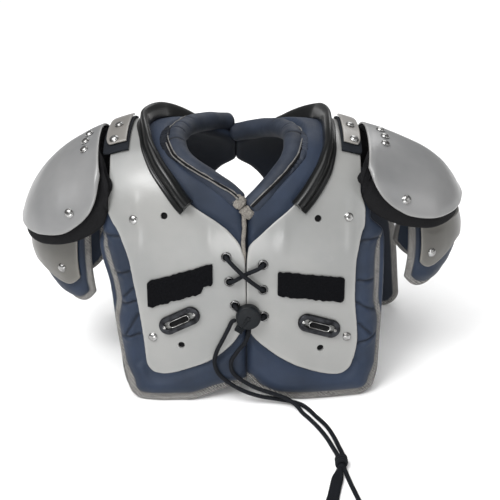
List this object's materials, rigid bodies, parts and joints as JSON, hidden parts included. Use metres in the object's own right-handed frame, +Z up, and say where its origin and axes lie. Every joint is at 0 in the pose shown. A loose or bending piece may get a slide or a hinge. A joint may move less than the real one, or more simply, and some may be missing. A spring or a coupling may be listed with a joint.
{
  "type": "football shoulder pad",
  "caption": "Laced shoulder pad for football: hard arched chest and back plates over padded liners, domed shoulder caps, arm flaps, neck roll, lace lock and free lace ends.",
  "frame": {"origin": "on the floor, at the middle in plan of the pads as they stand, without the free lace ends", "axes": "+X to the picture's right across the chest, +Y from the chest to the back, +Z up"},
  "size_m": [0.4658, 0.3995, 0.2808],
  "materials": {
    "plate": "smooth moulded, satin gloss",
    "cap": "smooth moulded, satin gloss",
    "navy": "woven nylon over foam",
    "foam": "closed-cell foam",
    "trim": "moulded, semi-matt",
    "hook": "hook-and-loop pile",
    "black_plastic": "moulded, fine grain",
    "steel": "nickel plated",
    "dark_steel": "gunmetal plated",
    "lace": "braided cord"
  },
  "bodies": {
    "pads": {"arch_plate_left": "plate", "arch_plate_right": "plate", "body_pad_left": "navy", "body_pad_right": "navy", "collar_left": "navy", "collar_right": "navy", "neck_trim_left": "trim", "neck_trim_right": "trim", "shoulder_cap_left": "cap", "shoulder_cap_right": "cap", "cap_foam_left": "foam", "cap_foam_right": "foam", "hinge_strap_left": "foam", "hinge_strap_right": "foam", "hinge_plate_left": "plate", "hinge_plate_right": "plate", "flap_pad_left": "navy", "flap_pad_right": "navy", "flap_plate_left": "cap", "flap_plate_right": "cap", "hook_patch_left": "hook", "hook_patch_right": "hook", "eyelet_left_1": "dark_steel", "eyelet_left_2": "dark_steel", "eyelet_left_3": "dark_steel", "eyelet_right_1": "dark_steel", "eyelet_right_2": "dark_steel", "eyelet_right_3": "dark_steel", "plate_rivet_left_1": "steel", "plate_rivet_left_2": "steel", "plate_rivet_right_1": "steel", "plate_rivet_right_2": "steel", "buckle_plate_left": "black_plastic", "buckle_plate_right": "black_plastic", "buckle_slot_left": "steel", "buckle_slot_right": "steel", "cap_rivet_left_1": "steel", "cap_rivet_left_2": "steel", "cap_rivet_left_3": "steel", "cap_rivet_left_4": "steel", "cap_rivet_right_1": "steel", "cap_rivet_right_2": "steel", "cap_rivet_right_3": "steel", "cap_rivet_right_4": "steel", "hinge_rivet_left_1": "steel", "hinge_rivet_left_2": "steel", "hinge_rivet_right_1": "steel", "hinge_rivet_right_2": "steel", "flap_rivet_left": "steel", "flap_rivet_right": "steel", "cord_lock_body": "black_plastic", "lace_cross_upper": "lace", "lace_cross_lower": "lace", "lace_to_lock_left": "lace", "lace_to_lock_right": "lace", "lace_tail_left": "lace", "lace_tail_right": "lace", "lace_knot": "lace"},
    "lock_button": {"cord_lock_plunger": "black_plastic"}
  },
  "joints": [
    {"name": "lock_button_press", "type": "slide", "parent": "pads", "child": "lock_button", "axis": [0.5444, 0.0663, 0.8362], "range_m": [0, 0.004], "stiffness_N_per_m": 300, "springref_m": -0.002}
  ]
}
